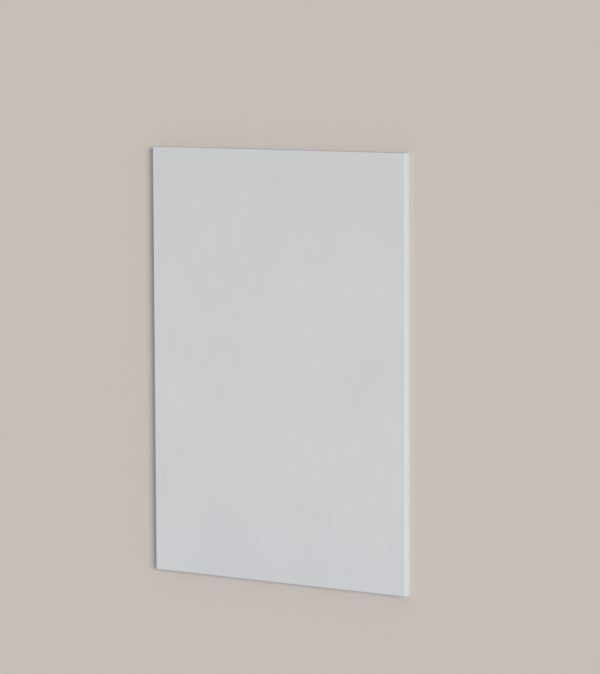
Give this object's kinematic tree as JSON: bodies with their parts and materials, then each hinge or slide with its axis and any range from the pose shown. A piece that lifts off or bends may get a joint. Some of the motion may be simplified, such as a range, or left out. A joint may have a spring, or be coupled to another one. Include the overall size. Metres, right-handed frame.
{
  "type": "painted plywood sheet",
  "caption": "Flat rectangular sheet of plywood with eased edges, painted pale grey on its faces and edges, lying flat as a panel, shelf, lid or board.",
  "frame": {"origin": "centre of the back face, which is the face that the sheet lies on", "axes": "+X across the sheet, +Y along its length, +Z out of its front face through the thickness"},
  "size_m": [0.6, 0.87, 0.018],
  "materials": {
    "grey_paint": "matte"
  },
  "bodies": {
    "root": {"sheet": "grey_paint"}
  },
  "joints": []
}
